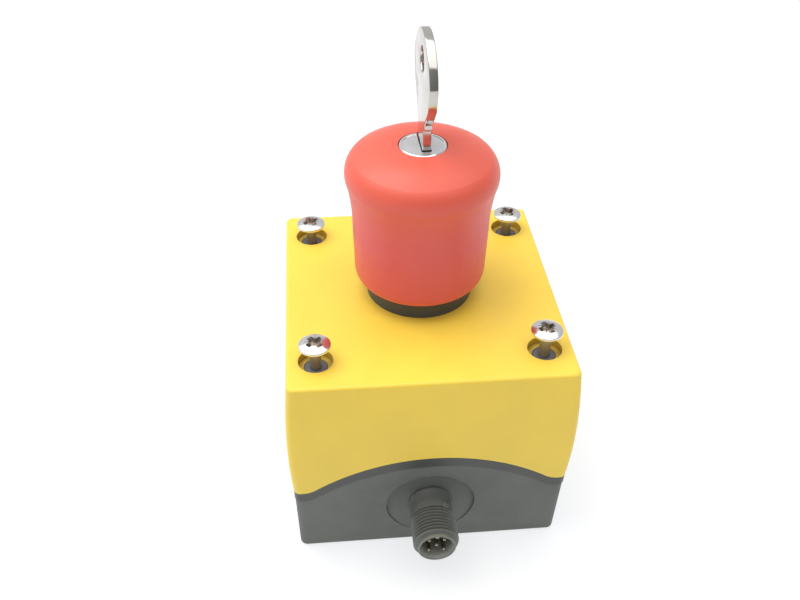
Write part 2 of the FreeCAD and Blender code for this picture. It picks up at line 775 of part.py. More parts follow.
def build_springs():
    node("head_return_spring", coil(8.1, 0.4, D.guide_top, D.stator_bottom, 6, AXIS))
    node("plug_return_spring", coil(3.0, 0.3, 70.0, 77.0, 7, AXIS))
    body = new_body(-5.55, D.axis_y, D.latch_bottom + D.latch_height / 2)
    sketch = new_sketch(body, "XY_Plane", 0.0, (), ((0.0, 0.85, 0.16),))
    helix = body.newObject("PartDesign::AdditiveHelix", "Helix")
    helix.Profile = sketch
    helix.ReferenceAxis = (sketch, ["H_Axis"])
    helix.Mode = "height-turns-angle"
    helix.Turns = 3
    helix.Height = 1.2
    node("latch_spring", body)


# ---------------------------------------------------------------- contact blocks

def build_carrier():
    plate = block((-18.0, D.axis_y - 23.8, 6.0), (18.0, D.axis_y + 23.8, D.block_bottom))
    holes = [rod(1.8, (0.0, D.axis_y + offset, 5.0), 5.0) for offset in CARRIER_SCREWS]
    lips = [block((-16.0, D.axis_y + low, D.block_bottom - 0.5), (16.0, D.axis_y + high, 10.5))
            for low, high in ((-18.1, -17.1), (17.1, 18.1))]
    node("contact_carrier", cut(join(plate, *lips), *holes))
    screws = [screw(2.6, 1.8, 0.6, 1.2, 5.0, D.block_bottom, 0.0, D.axis_y + offset)
              for offset in CARRIER_SCREWS]
    node("carrier_screws", group(*screws))


def build_contact_block(side, x):
    y = D.axis_y
    half = D.block_width / 2
    reach = D.terminal_reach
    strip = D.strip_height
    ends = (-1, 1)
    shell = block((x - half, y - D.block_half_depth, D.block_bottom),
                  (x + half, y + D.block_half_depth, D.block_top))
    cavity = block((x - 6.6, y - 10.8, 10.5), (x + 6.6, y + 10.8, D.block_top - 2.0))
    plunger_hole = block((x - 3.45, y - 3.25, 30.0), (x + 3.45, y + 3.25, D.block_top + EPS))
    wells = [rod(3.4, (x, y + reach * end, strip + 1.0), 20.0) for end in ends]
    slots = [block((x - 2.7, y + 13.1 * end - 3.1, strip - 0.1),
                   (x + 2.7, y + 13.1 * end + 3.1, strip + 1.1)) for end in ends]
    shanks = [rod(1.75, (x, y + reach * end, strip - 7.0), 8.0) for end in ends]
    entries = [rod(1.8, (x, y + (end * 16.4 - 1.6), strip - 1.2), 3.2, "Y") for end in ends]
    node(f"contact_block_{side}", cut(shell, cavity, plunger_hole, *wells, *slots, *shanks, *entries))
    stem = block((x - 3.2, y - 3.0, 18.0), (x + 3.2, y + 3.0, D.plunger_top))
    window = block((x - 2.2, y - 4.0, 20.0), (x + 2.2, y + 4.0, 28.0))
    node(f"contact_plunger_{side}", cut(stem, window))
    bar = block((x - 2.0, y - 9.5, strip - 2.6), (x + 2.0, y + 9.5, strip - 1.8))
    tips = [rod(1.5, (x, y + 8.0 * end, strip - 1.9), 1.2) for end in ends]
    node(f"contact_bridge_{side}", join(bar, *tips))
    strips = []
    for end in ends:
        plate = block((x - 2.5, y + 10.9 * end - 5.1, strip), (x + 2.5, y + 10.9 * end + 5.1, strip + 1.0))
        rivet = rod(1.6, (x, y + 8.0 * end, strip - 0.6), 0.7)
        strips.append(cut(join(plate, rivet), rod(1.7, (x, y + reach * end, strip - 1.0), 3.0)))
    node(f"fixed_contacts_{side}", group(*strips))
    node(f"terminal_screws_{side}", group(*[
        screw(3.0, 2.0, 0.8, 1.6, 7.0, strip + 1.05, x, y + reach * end) for end in ends]))
    node(f"contact_spring_{side}", coil(1.3, 0.2, 20.0, strip - 2.6, 3, (x, y)))
    node(f"return_spring_{side}", coil(2.3, 0.22, 10.5, 18.0, 5, (x, y)))


# ---------------------------------------------------------------- plug connector and leads

def build_connector():
    centre = (0.0, 0.0, D.entry_height)
    front, start, end = -D.mouth_front, -D.thread_start, -D.thread_end
    node("connector_body", turned((
        (D.insert_radius, -D.tail_end), (D.tail_radius, -D.tail_end), (D.tail_radius, start),
        (D.thread_radius, start), (D.thread_radius, end), (D.thread_radius - 0.25, end - 1.4),
        (D.mouth_radius, end - 2.3), (D.mouth_radius, front), (D.mouth_bore + 0.1, front),
        (D.mouth_bore, front + 0.2), (D.mouth_bore, -44.5), (D.insert_radius, -44.5)),
        centre, "Y"))
    node("connector_seal", turned((
        (D.tail_radius + 0.1, start), (D.thread_radius - 0.2, start),
        (D.thread_radius - 0.2, -D.entry_face), (D.tail_radius + 0.1, -D.entry_face)), centre, "Y"))
    inner = -D.inside_half_depth
    node("connector_nut", prism("XZ_Plane", inner, inner + 3.0, (hexagon(7.5),),
                                ((0.0, 0.0, D.tail_radius + 0.05),), centre))
    places = pin_places()
    holes = [rod(D.pin_radius, (x, -60.0, z), 40.0, "Y") for x, z in places]
    insert = rod(D.insert_radius, (0.0, -44.6, D.entry_height), 17.6, "Y")
    node("connector_insert", cut(insert, *holes))
    node("contact_pins", group(*[rod(D.pin_radius, (x, -51.0, z), 25.5, "Y") for x, z in places]))


def pin_places():
    """Four pins on a circle and one in the middle, as (x, z)."""
    side = D.pin_circle * DIAGONAL
    middle = D.entry_height
    return [(-side, middle + side), (side, middle + side), (-side, middle - side),
            (side, middle - side), (0.0, middle)]


def lead(label, points):
    """An insulated wire: straight runs joined by tangent arcs, swept by a round section."""
    radius = D.lead_radius.value
    points = [FreeCAD.Vector(*point) for point in points]
    edges = []
    here = points[0]
    for before, corner, after in zip(points, points[1:], points[2:]):
        arriving, leaving = corner - before, after - corner
        turn = arriving.getAngle(leaving)
        back = 0.45 * min(arriving.Length, leaving.Length)
        bend = back / math.tan(turn / 2)
        start = corner - arriving.normalize() * back
        end = corner + leaving.normalize() * back
        towards = (end - corner).normalize() + (start - corner).normalize()
        reach = bend / math.cos(turn / 2) - bend
        edges.append(Part.LineSegment(here, start).toShape())
        edges.append(Part.Arc(start, corner + towards.normalize() * reach, end).toShape())
        here = end
        print(f"{label}: bend radius {bend:.1f} mm")
    edges.append(Part.LineSegment(here, points[-1]).toShape())
    path = Part.Wire(edges)
    direction = points[1] - points[0]
    section = Part.Wire(Part.Circle(points[0], direction, radius).toShape())
    tube = path.makePipeShell([section], True, True)
    ideal = math.pi * radius ** 2 * path.Length
    print(f"{label}: volume {tube.Volume:.2f}, section x length {ideal:.2f} mm3")
    item = doc.addObject("Part::Feature", "Lead")
    item.Shape = tube
    node(label, item)


def build_leads():
    """Two short leads to the front terminals and two longer ones round to the back."""
    pin = D.pin_circle.value * DIAGONAL
    middle = D.entry_height.value
    axis = D.axis_y.value
    x = D.block_spacing.value
    end = D.strip_height.value - 1.2
    for side, sign in (("left", -1), ("right", 1)):
        lead(f"lead_front_{side}", [
            (sign * pin, -25.0, middle + pin), (sign * 3.2, -21.0, 19.2),
            (sign * 7.6, -19.0, 23.4), (sign * x, axis - 15.8, end)])
        lead(f"lead_back_{side}", [
            (sign * pin, -25.0, middle - pin), (sign * 5.2, -21.6, 13.4),
            (sign * 12.4, -21.2, 12.6), (sign * 19.0, -17.2, 14.4),
            (sign * 20.3, -8.5, 17.0), (sign * 20.0, 2.0, 18.6),
            (sign * 20.2, 12.5, 21.0), (sign * 18.6, 19.6, 23.4),
            (sign * 14.6, 23.6, end + 0.1), (sign * 10.2, 22.2, end),
            (sign * x, axis + 15.8, end)])


# ---------------------------------------------------------------- build, check and export

def check(items):
    """Stops on any failed object, and on a sub-part that is not whole and closed."""
    failed = [item.Name for item in doc.Objects if {"Invalid", "Error"} & set(item.State)]
    for item in items:
        shape = item.Shape
        if shape.isNull() or not shape.isValid() or not shape.Solids or shape.Volume <= 0:
            failed.append(item.Label)
    if failed:
        raise RuntimeError("failed: " + ", ".join(failed))


def main():
    build_cover()
    build_base()
    build_cover_seal()
    build_cover_screws()
    build_collar()
    build_ring_nut()
    build_head()
    build_bellows()
    build_lock()
    build_key()
    build_sleeve()
    build_springs()
    build_carrier()
    build_contact_block("left", -D.block_spacing)
    build_contact_block("right", D.block_spacing)
    build_connector()
    build_leads()
    doc.recompute()
    check(NODES)
    os.makedirs("parts", exist_ok=True)
    for item in NODES:
        item.Shape.exportStep(f"parts/{item.Label}.step")
        print(f"{item.Label}: {len(item.Shape.Solids)} solid(s), {item.Shape.Volume:.1f} mm3")
    print(len(NODES), "nodes")


main()
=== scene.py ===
"""Looks of an emergency stop button with a key-released head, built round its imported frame.

Lengths are millimetres in this script until a mesh, a lamp or the camera is made, where MM
turns them into metres. Places come from the frame's own boxes.
"""
import json
import math

import bmesh
import bpy
from mathutils import Matrix, Vector


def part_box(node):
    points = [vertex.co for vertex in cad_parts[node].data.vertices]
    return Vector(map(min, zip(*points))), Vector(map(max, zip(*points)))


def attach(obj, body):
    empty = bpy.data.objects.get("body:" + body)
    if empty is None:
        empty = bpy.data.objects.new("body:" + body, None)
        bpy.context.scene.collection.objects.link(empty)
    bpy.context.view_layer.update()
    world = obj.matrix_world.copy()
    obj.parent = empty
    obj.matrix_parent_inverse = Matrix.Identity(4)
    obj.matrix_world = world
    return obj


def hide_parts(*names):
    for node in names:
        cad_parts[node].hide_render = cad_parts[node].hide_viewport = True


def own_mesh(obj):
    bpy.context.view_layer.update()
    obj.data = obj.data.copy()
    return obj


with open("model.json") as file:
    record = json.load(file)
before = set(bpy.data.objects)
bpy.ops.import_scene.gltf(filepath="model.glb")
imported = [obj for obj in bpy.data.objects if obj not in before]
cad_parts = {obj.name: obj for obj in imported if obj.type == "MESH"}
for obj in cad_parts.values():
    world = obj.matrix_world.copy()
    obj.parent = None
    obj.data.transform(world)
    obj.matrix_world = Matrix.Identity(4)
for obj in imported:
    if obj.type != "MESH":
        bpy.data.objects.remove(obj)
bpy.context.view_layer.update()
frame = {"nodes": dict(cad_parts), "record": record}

MM = 0.001


# ---------------------------------------------------------------- reading the frame

def cad(node):
    """Lowest and highest corner of a CAD node, in millimetres."""
    low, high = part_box(node)
    return low / MM, high / MM


def middle(node):
    """Centre of a CAD node's box, in millimetres."""
    low, high = cad(node)
    return (low + high) / 2


def body_of(node):
    """The body that a CAD node belongs to."""
    bodies = frame["record"]["behaviour"]["bodies"]
    return next(body for body, members in bodies.items() if node in members)


def slot_of(node):
    """The record's material slot of a CAD node."""
    return next(part["material_slot"] for part in frame["record"]["subparts"] if part["node"] == node)


# ---------------------------------------------------------------- mesh helpers

WELD = 1e-4
SLIVER = 1e-5


def new_object(name, points, faces):
    """A mesh object from millimetre points; coinciding points are welded and normals face out."""
    mesh = bpy.data.meshes.new(name)
    mesh.from_pydata([Vector(point) * MM for point in points], [], faces)
    form = bmesh.new()
    form.from_mesh(mesh)
    bmesh.ops.remove_doubles(form, verts=form.verts, dist=WELD * MM)
    bmesh.ops.dissolve_degenerate(form, edges=form.edges, dist=SLIVER * MM)
    bmesh.ops.recalc_face_normals(form, faces=form.faces)
    form.to_mesh(mesh)
    form.free()
    item = bpy.data.objects.new(name, mesh)
    bpy.context.scene.collection.objects.link(item)
    return item


def shade(item, crease=35.0):
    """Smooth shading with sharp edges where the surface turns more than the crease angle."""
    item.data.shade_smooth()
    item.data.set_sharp_from_angle(angle=math.radians(crease))


def turn_to(along):
    """The turn that lays a piece built round Z along the axis Z or Y."""
    return {"Z": Matrix.Identity(3), "Y": Matrix.Rotation(-math.pi / 2, 3, "X")}[along]


def lathe(name, outline, place=(0, 0, 0), along="Z", segments=96, relief=None):
    """Turns a closed outline of (radius, height) points round an axis.

    relief(radius, height, angle) may change the radius, as a thread does.
    """
    turn, place = turn_to(along), Vector(place)
    points, faces = [], []
    for radius, height in outline:
        for step in range(segments):
            angle = 2 * math.pi * step / segments
            reach = relief(radius, height, angle) if relief and radius > 0 else radius
            spot = Vector((reach * math.cos(angle), reach * math.sin(angle), height))
            points.append(turn @ spot + place)
    for row in range(len(outline)):
        below, above = row * segments, (row + 1) % len(outline) * segments
        for step in range(segments):
            after = (step + 1) % segments
            faces.append((below + step, below + after, above + after, above + step))
    return new_object(name, points, faces)


def prism(name, outline, low, high, shrink=1.0, place=(0, 0, 0), spin=0.0):
    """A closed outline of (x, y) points between two heights; shrink scales its lower end."""
    count = len(outline)
    turn, place = Matrix.Rotation(math.radians(spin), 3, "Z"), Vector(place)
    points = [turn @ Vector((x * scale, y * scale, height)) + place
              for height, scale in ((low, shrink), (high, 1.0)) for x, y in outline]
    sides = [(i, (i + 1) % count, count + (i + 1) % count, count + i) for i in range(count)]
    caps = [tuple(range(count)), tuple(range(count, 2 * count))]
    return new_object(name, points, sides + caps)


def arc(centre, radius, start, end, steps=8):
    """Points on an arc between two angles in degrees."""
    angles = [math.radians(start + (end - start) * i / steps) for i in range(steps + 1)]
    return [(centre[0] + radius * math.cos(a), centre[1] + radius * math.sin(a)) for a in angles]


def arc_through(start, via, end, steps=12):
    """Points on the arc from start to end that passes through via."""
    a, b, c = (complex(*point) for point in (start, via, end))
    w = (c - a) / (b - a)
    centre = (b - a) * (w - abs(w) ** 2) / (2j * w.imag) + a
    radius = abs(a - centre)
    angles = [math.atan2((p - centre).imag, (p - centre).real) for p in (a, b, c)]
    sweep = (angles[2] - angles[0]) % (2 * math.pi)
    if (angles[1] - angles[0]) % (2 * math.pi) > sweep:
        sweep -= 2 * math.pi
    return [(centre.real + radius * math.cos(angles[0] + sweep * i / steps),
             centre.imag + radius * math.sin(angles[0] + sweep * i / steps)) for i in range(steps + 1)]


def settle(item):
    """Applies the modifiers of a piece to its mesh."""
    graph = bpy.context.evaluated_depsgraph_get()
    old = item.data
    item.data = bpy.data.meshes.new_from_object(item.evaluated_get(graph))
    item.data.name = item.name
    item.modifiers.clear()
    bpy.data.meshes.remove(old)
    return item


def carve(item, *tools):
    """Takes the tools' volume out of a piece."""
    for tool in tools:
        modifier = item.modifiers.new("Carve", "BOOLEAN")
        modifier.operation = "DIFFERENCE"
        modifier.solver = "EXACT"
        modifier.object = tool
        settle(item)
        bpy.data.objects.remove(tool)
    return item


def coil(name, radius, wire, low, high, turns, place, segments=10, steps=40):
    """A closed-end coil spring: its first and last turns lie flat, the others climb evenly."""
    flat_turn = 0.6
    points, faces = [], []
    count = int(turns * steps) + 1
    start, climb = low + wire, high - low - 2 * wire
    for i in range(count):
        share = i / (count - 1)
        eased = min(max((share * turns - flat_turn) / (turns - 2 * flat_turn), 0.0), 1.0)
        angle = 2 * math.pi * turns * share
        outward = Vector((math.cos(angle), math.sin(angle), 0))
        centre = outward * radius + Vector((place[0], place[1], start + climb * eased))
        for step in range(segments):
            turn = 2 * math.pi * step / segments
            points.append(centre + outward * wire * math.cos(turn) + Vector((0, 0, wire * math.sin(turn))))
    for i in range(count - 1):
        for step in range(segments):
            after = (step + 1) % segments
            faces.append((i * segments + step, i * segments + after,
                          (i + 1) * segments + after, (i + 1) * segments + step))
    faces.append(tuple(range(segments)))
    faces.append(tuple(range((count - 1) * segments, count * segments)))
    return new_object(name, points, faces)


def stand_for(item, node, material, crease=35.0):
    """The piece takes a CAD node's place and body, with the material it is given; the node is hidden."""
    shade(item, crease)
    item.data.materials.clear()
    item.data.materials.append(material)
    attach(item, body_of(node))
    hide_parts(node)
    return item


# ---------------------------------------------------------------- material helpers

class Surface:
    """A Principled material with its texture nodes in object coordinates, in millimetres."""

    def __init__(self, name, **settings):
        self.material = bpy.data.materials.new(name)
        self.material.use_nodes = True
        self.tree = self.material.node_tree
        self.shader = self.tree.nodes["Principled BSDF"]
        for socket, value in settings.items():
            self.shader.inputs[socket.replace("_", " ")].default_value = value
        self.place = self.node("ShaderNodeTexCoord").outputs["Object"]

    def node(self, kind, **properties):
        made = self.tree.nodes.new(kind)
        for key, value in properties.items():
            setattr(made, key, value)
        return made

    def feed(self, socket, value):
        """Links a socket into another, or sets a plain value on it."""
        if isinstance(value, bpy.types.NodeSocket):
            self.tree.links.new(value, socket)
        else:
            socket.default_value = value

    def stretched(self, scale):
        """The object's place in millimetres, stretched along its axes."""
        mapping = self.node("ShaderNodeMapping")
        self.feed(mapping.inputs["Vector"], self.place)
        mapping.inputs["Scale"].default_value = [factor / MM for factor in scale]
        return mapping.outputs["Vector"]

    def noise(self, size, detail=2.0, roughness=0.5, stretch=(1, 1, 1)):
        """Noise whose features are about this many millimetres across."""
        made = self.node("ShaderNodeTexNoise")
        self.feed(made.inputs["Vector"], self.stretched([factor / size for factor in stretch]))
        made.inputs["Scale"].default_value = 1.0
        made.inputs["Detail"].default_value = detail
        made.inputs["Roughness"].default_value = roughness
        return made.outputs["Fac"]

    def cells(self, size):
        """Rounded grains of about this many millimetres."""
        made = self.node("ShaderNodeTexVoronoi", feature="SMOOTH_F1")
        self.feed(made.inputs["Vector"], self.stretched([1 / size] * 3))
        made.inputs["Scale"].default_value = 1.0
        made.inputs["Smoothness"].default_value = 0.7
        return made.outputs["Distance"]

    def math(self, operation, first, second=0.0):
        made = self.node("ShaderNodeMath", operation=operation)
        self.feed(made.inputs[0], first)
        self.feed(made.inputs[1], second)
        return made.outputs[0]

    def span(self, value, low, high, to_low, to_high):
        """Carries a range of values over to another one, clamped."""
        made = self.node("ShaderNodeMapRange", interpolation_type="SMOOTHSTEP")
        for socket, number in zip(made.inputs, (value, low, high, to_low, to_high)):
            self.feed(socket, number)
        return made.outputs[0]

    def axes(self, centre=(0, 0, 0)):
        """The place along X, Y and Z in millimetres, measured from a centre."""
        mapping = self.node("ShaderNodeMapping", vector_type="POINT")
        self.feed(mapping.inputs["Vector"], self.place)
        mapping.inputs["Scale"].default_value = [1 / MM] * 3
        mapping.inputs["Location"].default_value = [-value for value in centre]
        split = self.node("ShaderNodeSeparateXYZ")
        self.feed(split.inputs[0], mapping.outputs["Vector"])
        return split.outputs

    def from_axis(self, centre):
        """Distance from an upright axis in millimetres."""
        x, y, _ = self.axes(centre)
        return self.length(x, y)

    def length(self, first, second):
        """Length of the two legs' slant side."""
        squares = [self.math("MULTIPLY", leg, leg) for leg in (first, second)]
        return self.math("SQRT", self.math("ADD", *squares))

    def mix(self, share, first, second):
        """The first colour where the share is 0, the second where it is 1."""
        made = self.node("ShaderNodeMix", data_type="RGBA")
        self.feed(made.inputs[0], share)
        self.feed(made.inputs[6], first)
        self.feed(made.inputs[7], second)
        return made.outputs[2]

    def bump(self, height, depth, strength=1.0, under=None):
        """A bump this many millimetres deep, on top of another one."""
        made = self.node("ShaderNodeBump")
        made.inputs["Distance"].default_value = depth * MM
        self.feed(made.inputs["Strength"], strength)
        self.feed(made.inputs["Height"], height)
        if under:
            self.feed(made.inputs["Normal"], under)
        return made.outputs["Normal"]

    def finish(self, colour=None, roughness=None, normal=None):
        for name, value in (("Base Color", colour), ("Roughness", roughness), ("Normal", normal)):
            if value is not None:
                self.feed(self.shader.inputs[name], value)
        return self.material


def srgb(red, green, blue):
    """A colour given as 0..255 on the screen, as the linear colour that a shader takes."""
    def linear(value):
        value = value / 255
        return value / 12.92 if value <= 0.04045 else ((value + 0.055) / 1.055) ** 2.4
    return linear(red), linear(green), linear(blue), 1.0


def tinted(colour, factor):
    """A linear colour made lighter or darker."""
    return tuple(channel * factor for channel in colour[:3]) + (1.0,)


# ---------------------------------------------------------------- materials

MOTTLE_SIZE = 14.0
DUST_SIZE = 2.2
WAVE_SIZE, WAVE_DEPTH = 9.0, 0.05
SCRATCH_SIZE = 0.25

WELL_RADIUS = 4.4
PILLAR_END = 50.0
BAND_HEIGHT, BAND_FADE = 3.0, 0.9
# Height of the painted shadow under the parting line.
SEAM_SHADOW_HEIGHT = 0.6
PARTING_FOOT = 24.0
PARTING_HALF = 32.0
PARTING_RISE = 11.4
PARTING_ROUND = 6.0


def worn(made, roughness):
    """Flow mottle and dust noises, and a roughness that follows both."""
    mottle = made.noise(MOTTLE_SIZE, 4.0, 0.6)
    dust = made.noise(DUST_SIZE, 5.0, 0.65)
    rough = made.span(made.math("ADD", mottle, dust), 0.7, 1.3, roughness - 0.05, roughness + 0.07)
    return mottle, dust, rough


def grained(made, grain, depth):
    """The normal of a moulded face: a fine grain on a slightly wavy skin."""
    fine = made.bump(made.cells(grain), depth)
    return made.bump(made.noise(WAVE_SIZE, 1.0), WAVE_DEPTH, under=fine)


def speckled(made, colour, spread, speck, mottle, dust):
    """A colour that wanders by the spread, with specks of dust that are paler by another share."""
    patches = made.mix(made.span(mottle, 0.3, 0.7, 0, 1), tinted(colour, 1 - spread),
                       tinted(colour, 1 + spread))
    return made.mix(made.span(dust, 0.62, 0.75, 0, 0.1), patches, tinted(colour, 1 + speck))


def moulded(name, colour, roughness, grain, grain_depth, spread):
    """Moulded plastic: a fine grain, a faint flow mottle, and rubbed and dull patches."""
    made = Surface(name, Roughness=roughness)
    mottle, dust, rough = worn(made, roughness)
    shown = speckled(made, colour, spread, 3 * spread, mottle, dust)
    return made.finish(shown, rough, grained(made, grain, grain_depth))


def cover_plastic(name, colour):
    """The cover's plastic: satin grain with a faint mottle, and painted shade on the walls of its wells,
    darker deeper down.
    """
    roughness = 0.42
    made = Surface(name, Roughness=roughness)
    _, high = cad("enclosure_cover")
    well = middle("cover_screw_front_right")
    x, y, z = made.axes()
    aside = made.math("SUBTRACT", made.math("ABSOLUTE", x), abs(well.x))
    along = made.math("SUBTRACT", made.math("ABSOLUTE", y), abs(well.y))
    across = made.length(aside, along)
    # Painted shade on the well walls: darker deeper in each well, patchy where the dust noise is low.
    deep = made.span(z, high.z - 2.5, high.z - 0.2, 0.6, 0)
    well_shade = made.math("MULTIPLY", deep, made.span(across, WELL_RADIUS + 0.1, WELL_RADIUS + 0.3, 1, 0))
    mottle, dust, rough = worn(made, roughness)
    shown = speckled(made, colour, 0.025, 0.08, mottle, dust)
    uneven = made.span(dust, 0.3, 0.6, 0.7, 1.0)
    shown = made.mix(made.math("MULTIPLY", well_shade, uneven), shown, srgb(128, 104, 66))
    return made.finish(shown, rough, grained(made, 0.3, 0.006))


def base_plastic(name, colour, band_colour):
    """The base's plastic: pebbled walls, a smooth band under the parting line with a painted shadow along its
    top, and painted light on the pillar ends.
    """
    made = Surface(name, Roughness=0.5)
    x, _, z = made.axes()
    line = parting_height(made, x)
    below = made.math("SUBTRACT", line, z)
    pebbled = made.span(below, BAND_HEIGHT, BAND_HEIGHT + BAND_FADE, 0, 1)
    # Painted shadow along the top of the band, just under the parting line.
    seam_shadow = made.span(below, 0.0, SEAM_SHADOW_HEIGHT, 0.3, 0)
    # Painted light on the pillar ends, which sit in the shade of the wells.
    pillar_light = made.span(z, PILLAR_END, PILLAR_END + 2.0, 0, 1)
    mottle = made.span(made.noise(11.0, 4.0, 0.6), 0.3, 0.7, 0, 1)
    walls = made.mix(mottle, tinted(colour, 0.92), tinted(colour, 1.08))
    grit = made.noise(0.45, 3.0, 0.6)
    walls = made.mix(made.span(grit, 0.55, 0.75, 0, 0.35), walls, tinted(colour, 1.35))
    band = made.mix(mottle, band_colour, tinted(band_colour, 1.12))
    band = made.mix(seam_shadow, band, tinted(band_colour, 0.3))
    band = made.mix(pillar_light, band, made.mix(mottle, srgb(98, 100, 107), srgb(108, 110, 117)))
    shown = made.mix(pebbled, band, walls)
    rough = made.span(pebbled, 0, 1, 0.38, 0.6)
    depth = made.span(pebbled, 0, 1, 0.12, 1.0)
    pebbles = made.bump(made.cells(0.5), 0.05, depth)
    return made.finish(shown, rough, made.bump(grit, 0.03, depth, pebbles))


def head_plastic(name, colour, low_colour):
    """The head's plastic: satin, pinker on its barrel than on its crown, with faint pale patches."""
    roughness = 0.4
    made = Surface(name, Roughness=roughness)
    low, high = cad("mushroom_head")
    _, _, z = made.axes()
    mottle, _, rough = worn(made, roughness)
    barrel, crown = (low.z + share * (high.z - low.z) for share in (0.4, 0.9))
    body = made.mix(made.span(z, barrel, crown, 0, 1), low_colour, colour)
    shown = made.mix(made.span(mottle, 0.3, 0.7, 0, 0.05), body, tinted(colour, 1.3))
    return made.finish(shown, rough, grained(made, 0.25, 0.004))


def plug_plastic(name, colour):
    """The plug's plastic: painted shade in the thread's roots and a little on its neck, a painted highlight
    on the mouth's front, and painted light inside the bore.
    """
    centre = middle("connector_body")
    low, _ = cad("connector_body")
    made = Surface(name, Roughness=0.38)
    x, y, z = made.axes((centre.x, low.y, centre.z))
    across = made.length(x, z)
    mottle = made.noise(9.0, 4.0, 0.6)
    plain = made.mix(made.span(mottle, 0.3, 0.7, 0, 1), tinted(colour, 0.9), tinted(colour, 1.1))
    behind_mouth = made.span(y, 0.95, 1.1, 0, 1)
    # Painted shade in the thread's roots, and a little on the neck.
    root_shade = made.math("MULTIPLY", made.span(across, PLUG_ROOT, PLUG_ROOT + 0.5, 0.75, 0), behind_mouth)
    shown = made.mix(root_shade, plain, tinted(colour, 0.3))
    # Painted highlight on the front of the mouth, where its rim catches the light.
    shown = made.mix(made.span(y, 0.1, 0.45, 0.3, 0), shown, tinted(colour, 2.0))
    # Painted light inside the bore, lifting the shade that falls there.
    shown = made.mix(made.span(across, PLUG_BORE - 0.05, PLUG_BORE + 0.12, 1, 0), shown, srgb(166, 168, 160))
    fine = made.bump(made.cells(0.3), 0.012)
    return made.finish(shown, made.span(mottle, 0.3, 0.7, 0.34, 0.46), fine)


def metal(name, colour, roughness, scratches, stretch=(1, 1, 1)):
    """Plated or drawn metal: hair scratches, and a film that dulls it in patches."""
    made = Surface(name, Metallic=1.0, Roughness=roughness)
    film = made.noise(5.0, 5.0, 0.6)
    hair = made.noise(SCRATCH_SIZE, 3.0, 0.7, stretch)
    shown = made.mix(made.span(film, 0.35, 0.7, 0, 1), tinted(colour, 1.025), tinted(colour, 0.95))
    rough = made.span(film, 0.3, 0.75, roughness * 0.75, roughness * 1.6)
    return made.finish(shown, rough, made.bump(hair, scratches))


def screw_metal(name, colour, centre, top, radius):
    """Polished steel, with painted shade in the recess, and a duller shank."""
    made = Surface(name, Metallic=1.0, Roughness=0.2)
    across = made.from_axis((centre.x, centre.y, 0))
    _, _, z = made.axes()
    drop = (SCREW_HEAD - SCREW_RIM) / radius ** 2
    dome = made.math("SUBTRACT", top, made.math("MULTIPLY", made.math("MULTIPLY", across, across), drop))
    # Painted shade in the drive recess, patchy, inside the dome's cut.
    sunk = made.span(made.math("SUBTRACT", dome, z), 0.1, 0.3, 0, 1)
    in_head = made.span(z, top - SCREW_HEAD + 0.1, top - SCREW_HEAD + 0.25, 0, 1)
    within_arms = made.span(across, 2.7, 2.9, 1, 0)
    recess_shade = made.math("MULTIPLY", made.math("MULTIPLY", sunk, in_head), within_arms)
    shank = made.math("SUBTRACT", 1.0, in_head)
    film = made.noise(1.2, 5.0, 0.65)
    recess_shade_colour = made.mix(made.span(film, 0.35, 0.65, 0, 1), srgb(112, 101, 89), srgb(186, 176, 164))
    steel = made.mix(film, tinted(colour, 1.02), tinted(colour, 0.9))
    shown = made.mix(recess_shade, made.mix(shank, steel, tinted(colour, 0.62)), recess_shade_colour)
    dull = made.math("MULTIPLY", made.math("ADD", recess_shade, shank), 0.35)
    rough = made.math("ADD", made.span(film, 0.3, 0.75, 0.15, 0.26), dull)
    return made.finish(shown, rough, made.bump(made.noise(SCRATCH_SIZE, 3.0, 0.7), 0.003))


def face_metal(name, colour, centre, rim_radius):
    """The lock's face: turned satin rings inside a polished rim, whose colour is lifted as a painted
    highlight.
    """
    made = Surface(name, Metallic=1.0, Roughness=0.35)
    radius = made.from_axis(centre)
    inside = made.span(radius, rim_radius - 0.12, rim_radius, 1, 0)
    rings = made.math("SINE", made.math("MULTIPLY", radius, 60.0))
    grain = made.noise(0.12, 3.0, 0.7)
    film = made.noise(3.0, 4.0, 0.6)
    rough = made.math("ADD", made.span(inside, 0, 1, 0.12, 0.42), made.span(film, 0.3, 0.7, -0.03, 0.05))
    # The rim is polished and its colour is lifted 15 percent, a painted highlight.
    shown = made.mix(inside, tinted(colour, 1.15), made.mix(film, tinted(colour, 0.92), tinted(colour, 1.04)))
    turned = made.bump(rings, 0.004, inside)
    return made.finish(shown, rough, made.bump(grain, 0.006, inside, turned))


def rubber(name, colour):
    """Matt rubber with a bloom on it."""
    made = Surface(name, Roughness=0.75)
    bloom = made.noise(3.0, 5.0, 0.65)
    shown = made.mix(made.span(bloom, 0.4, 0.75, 0, 1), colour, tinted(colour, 1.9))
    return made.finish(shown, made.span(bloom, 0.3, 0.7, 0.66, 0.85), made.bump(made.cells(0.3), 0.02))


def parting_height(made, x):
    """Height of the parting line at a place across the enclosure: flat, round foot, one arch."""
    radius = (PARTING_HALF ** 2 + PARTING_RISE ** 2) / (2 * PARTING_RISE)
    both = radius + PARTING_ROUND
    flat = math.sqrt(both ** 2 - (both - PARTING_RISE) ** 2)
    across = made.math("MINIMUM", made.math("ABSOLUTE", x), flat)
    arch = circle_height(made, across, radius, PARTING_FOOT + PARTING_RISE - radius, 1)
    foot = circle_height(made, made.math("SUBTRACT", across, flat), PARTING_ROUND,
                         PARTING_FOOT + PARTING_ROUND, -1)
    outside = made.math("GREATER_THAN", across, flat * radius / both)
    return made.math("ADD", arch, made.math("MULTIPLY", outside, made.math("SUBTRACT", foot, arch)))


def circle_height(made, across, radius, centre, side):
    """Height of a circle's upper (side 1) or lower (side -1) half above a place across it."""
    square = made.math("SUBTRACT", radius ** 2, made.math("MULTIPLY", across, across))
    half = made.math("SQRT", made.math("MAXIMUM", square, 0.0))
    return made.math("ADD", made.math("MULTIPLY", half, side), centre)


